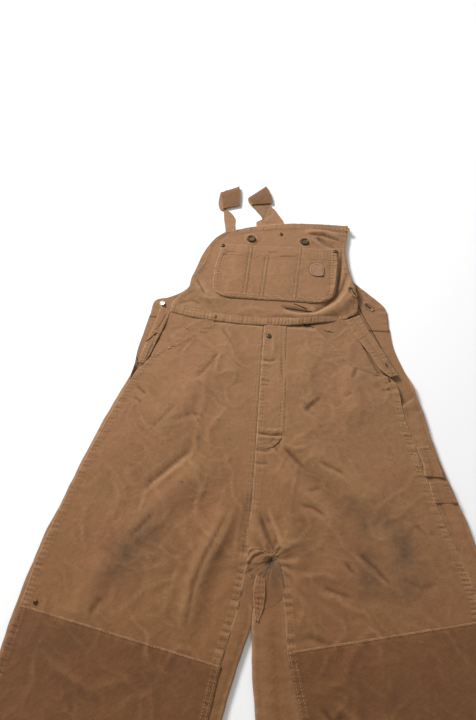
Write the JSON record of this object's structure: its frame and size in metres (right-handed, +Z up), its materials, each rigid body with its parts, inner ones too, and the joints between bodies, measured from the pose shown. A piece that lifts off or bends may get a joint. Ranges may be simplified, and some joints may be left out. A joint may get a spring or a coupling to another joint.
{
  "type": "worn duck bib overalls, laid flat",
  "caption": "Worn duck-cloth bib overalls lying flat: bib with pocket, straps, fly, slanted hand pockets, double-front knee patches and splayed legs.",
  "frame": {"origin": "middle of the laid garment's outline, on the surface it lies on", "axes": "+Z up out of the front of the garment, +Y from the hems towards the bib and straps, +X towards the wearer's left"},
  "size_m": [0.802, 1.5672, 0.0141],
  "materials": {
    "faded_duck": "faded brown cotton duck",
    "knee_duck": "darker brown cotton duck",
    "duck_inner_face": "unfaded inner face of the duck",
    "tab_duck": "worn blank cloth tab",
    "old_brass": "dull tarnished brass",
    "bright_steel": "bright worn steel"
  },
  "bodies": {
    "root": {"front_left": "faded_duck", "front_right": "faded_duck", "back_left": "faded_duck", "back_right": "faded_duck", "bib_front": "faded_duck", "bib_pocket": "faded_duck", "fly_placket": "faded_duck", "pocket_facing_left": "faded_duck", "pocket_facing_right": "faded_duck", "side_band_left": "faded_duck", "side_band_right": "faded_duck", "hammer_loop": "faded_duck", "tool_pocket": "faded_duck", "strap_left": "faded_duck", "strap_right": "faded_duck", "knee_patch_left": "knee_duck", "knee_patch_right": "knee_duck", "back_bib": "duck_inner_face", "blank_tab": "tab_duck", "bib_button_left": "old_brass", "bib_button_right": "old_brass", "bib_rivet_left": "old_brass", "bib_rivet_centre": "old_brass", "bib_rivet_right": "old_brass", "waist_rivet": "old_brass", "fly_rivet": "old_brass", "knee_rivet": "old_brass", "corner_stud": "old_brass", "side_button": "bright_steel"}
  },
  "joints": []
}
